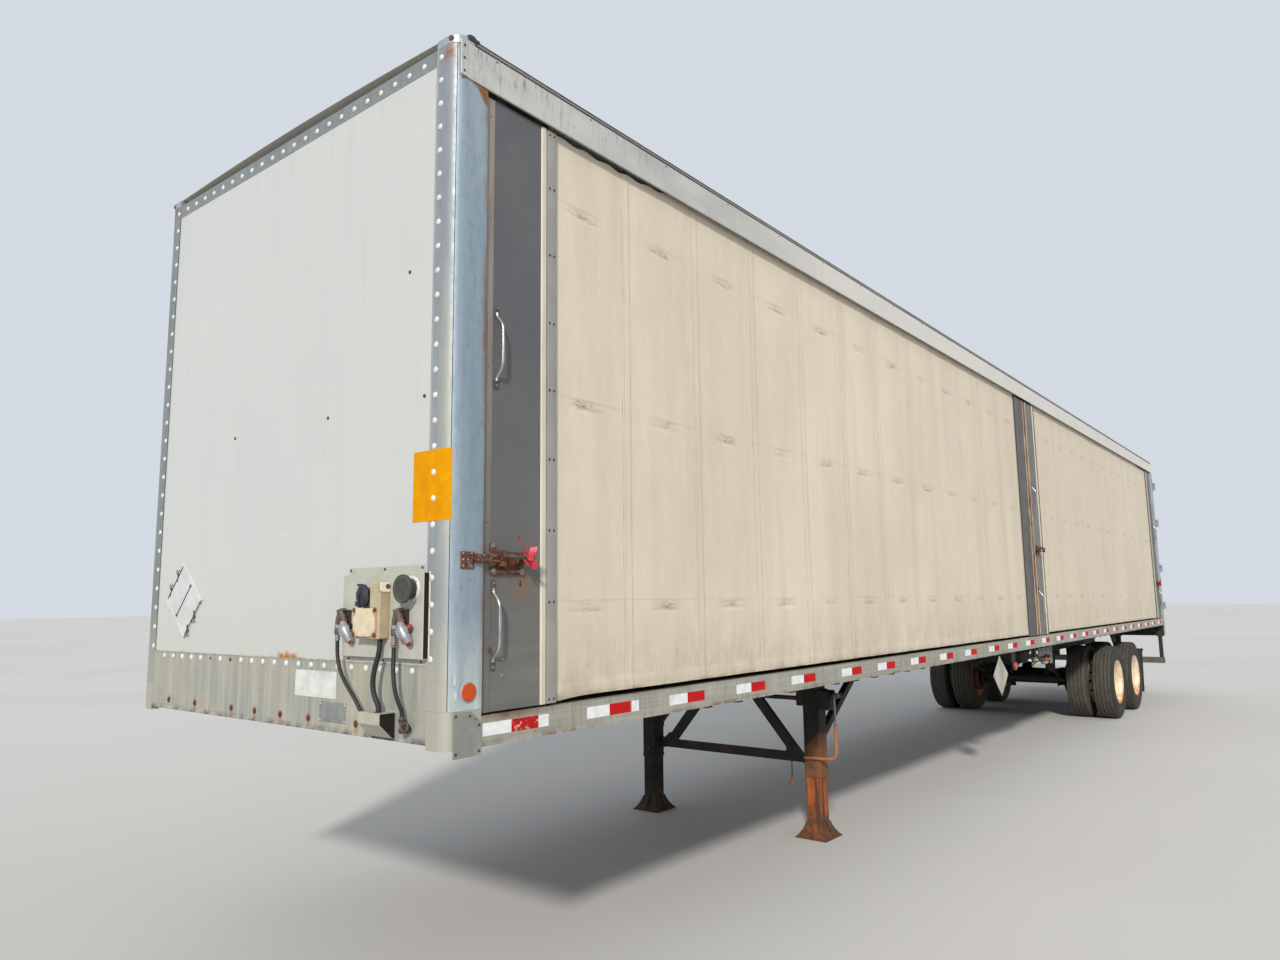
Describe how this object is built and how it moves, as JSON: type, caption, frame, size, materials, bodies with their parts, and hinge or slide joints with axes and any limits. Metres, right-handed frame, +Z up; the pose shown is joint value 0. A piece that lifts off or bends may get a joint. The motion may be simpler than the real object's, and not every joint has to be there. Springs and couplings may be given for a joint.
{
  "type": "curtain-sided semi trailer",
  "caption": "Curtain-sided box semi trailer parked on its landing legs, with sliding end panels, swing rear doors and free-turning dual wheels.",
  "frame": {"origin": "on the ground, under the centre of the body", "axes": "+X forward, towards the front wall; +Y to the left (crank) side; +Z up"},
  "size_m": [16.324, 2.66, 4.1148],
  "materials": {
    "white_panel": "satin",
    "galvanized": "satin",
    "aluminium": "satin",
    "roof_skin": "satin",
    "deck_wood": "matte",
    "black_steel": "matte",
    "rusty_steel": "matte",
    "tyre": "matte",
    "wheel_white": "satin",
    "curtain_vinyl": "matte",
    "panel_grey": "satin",
    "rubber": "matte",
    "service_grey": "satin",
    "lamp": "gloss"
  },
  "bodies": {
    "root": {"front_wall": "white_panel", "front_corner_posts": "galvanized", "front_rails": "aluminium", "roof_panel": "roof_skin", "roof_bows": "galvanized", "side_top_rails": "aluminium", "side_bottom_rails": "aluminium", "floor_deck": "deck_wood", "crossmembers": "black_steel", "upper_coupler": "black_steel", "king_pin": "black_steel", "rear_corner_posts": "galvanized", "rear_header": "galvanized", "rear_sill": "black_steel", "under_ride_guard": "black_steel", "landing_legs": "rusty_steel", "landing_gear_braces": "rusty_steel", "landing_gear_stays": "rusty_steel", "landing_gear_crank": "rusty_steel", "slide_rails": "black_steel", "bogie_frame": "black_steel", "spring_hangers": "black_steel", "leaf_springs": "black_steel", "axle_front": "black_steel", "axle_rear": "black_steel", "air_tank": "black_steel", "mud_flaps": "rubber", "service_panel": "service_grey", "service_box": "service_grey", "service_lamp": "lamp", "hose_couplings": "service_grey", "hose_hood": "service_grey", "hose_left": "rubber", "hose_right": "rubber", "cable_middle": "rubber", "middle_panels": "panel_grey", "middle_handles": "galvanized", "door_hinge_butts": "galvanized", "curtain_front_left": "curtain_vinyl", "curtain_front_right": "curtain_vinyl", "curtain_rear_left": "curtain_vinyl", "curtain_rear_right": "curtain_vinyl"},
    "wheel_front_left": {"tyres_front_left": "tyre", "wheels_front_left": "wheel_white"},
    "wheel_front_right": {"tyres_front_right": "tyre", "wheels_front_right": "wheel_white"},
    "wheel_rear_left": {"tyres_rear_left": "tyre", "wheels_rear_left": "wheel_white"},
    "wheel_rear_right": {"tyres_rear_right": "tyre", "wheels_rear_right": "wheel_white"},
    "rear_door_left": {"rear_door_left": "white_panel", "door_hardware_left": "galvanized"},
    "rear_door_right": {"rear_door_right": "white_panel", "door_hardware_right": "galvanized"},
    "lead_panel_front_left": {"lead_panel_front_left": "panel_grey"},
    "lead_panel_front_right": {"lead_panel_front_right": "panel_grey"},
    "lead_panel_rear_left": {"lead_panel_rear_left": "panel_grey"},
    "lead_panel_rear_right": {"lead_panel_rear_right": "panel_grey"}
  },
  "joints": [
    {"name": "spin_front_left", "type": "hinge", "parent": "root", "child": "wheel_front_left", "pos_m": [-3.965, 0.9785, 0.5], "axis": [0, 1, 0], "continuous": true},
    {"name": "spin_front_right", "type": "hinge", "parent": "root", "child": "wheel_front_right", "pos_m": [-3.965, -0.9785, 0.5], "axis": [0, 1, 0], "continuous": true},
    {"name": "spin_rear_left", "type": "hinge", "parent": "root", "child": "wheel_rear_left", "pos_m": [-5.21, 0.9785, 0.5], "axis": [0, 1, 0], "continuous": true},
    {"name": "spin_rear_right", "type": "hinge", "parent": "root", "child": "wheel_rear_right", "pos_m": [-5.21, -0.9785, 0.5], "axis": [0, 1, 0], "continuous": true},
    {"name": "door_left_swing", "type": "hinge", "parent": "root", "child": "rear_door_left", "pos_m": [-8.145, 1.312, 2.59], "axis": [0, 0, 1], "range_deg": [-255, 0]},
    {"name": "door_right_swing", "type": "hinge", "parent": "root", "child": "rear_door_right", "pos_m": [-8.145, -1.312, 2.59], "axis": [0, 0, 1], "range_deg": [0, 255]},
    {"name": "curtain_front_left_slide", "type": "slide", "parent": "root", "child": "lead_panel_front_left", "axis": [-1, 0, 0], "range_m": [0, 6.338], "deforming": ["curtain_front_left"]},
    {"name": "curtain_front_right_slide", "type": "slide", "parent": "root", "child": "lead_panel_front_right", "axis": [-1, 0, 0], "range_m": [0, 6.338], "deforming": ["curtain_front_right"]},
    {"name": "curtain_rear_left_slide", "type": "slide", "parent": "root", "child": "lead_panel_rear_left", "axis": [1, 0, 0], "range_m": [0, 6.256], "deforming": ["curtain_rear_left"]},
    {"name": "curtain_rear_right_slide", "type": "slide", "parent": "root", "child": "lead_panel_rear_right", "axis": [1, 0, 0], "range_m": [0, 6.256], "deforming": ["curtain_rear_right"]}
  ]
}
